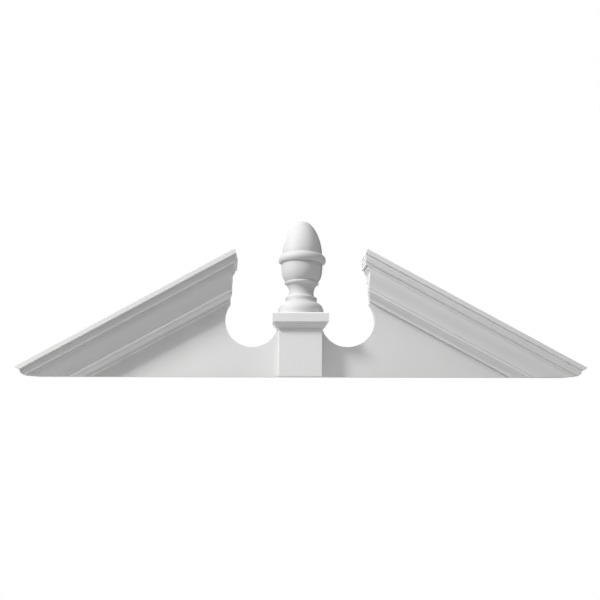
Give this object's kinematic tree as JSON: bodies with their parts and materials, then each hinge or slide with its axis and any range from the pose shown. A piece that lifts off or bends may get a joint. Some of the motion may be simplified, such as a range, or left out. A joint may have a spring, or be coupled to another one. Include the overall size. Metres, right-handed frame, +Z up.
{
  "type": "broken pediment with acorn finial",
  "caption": "Broken triangular pediment: moulded raking cornices returned to the wall, a flat board with round bites, and a capped pedestal carrying an acorn finial.",
  "frame": {"origin": "the middle of the underside (soffit), half way between the wall plane and the face of the fascia", "axes": "+X along the pediment to the viewer's right, +Y towards the wall, so -Y is the moulded front, +Z up"},
  "size_m": [1.524, 0.082, 0.4385],
  "materials": {
    "primed_white": "moulded rigid foam under a smooth matt white primer"
  },
  "bodies": {
    "root": {"tympanum_board": "primed_white", "raking_cornice_left": "primed_white", "raking_cornice_right": "primed_white", "pedestal_block": "primed_white", "pedestal_cap": "primed_white", "acorn_finial": "primed_white"}
  },
  "joints": []
}
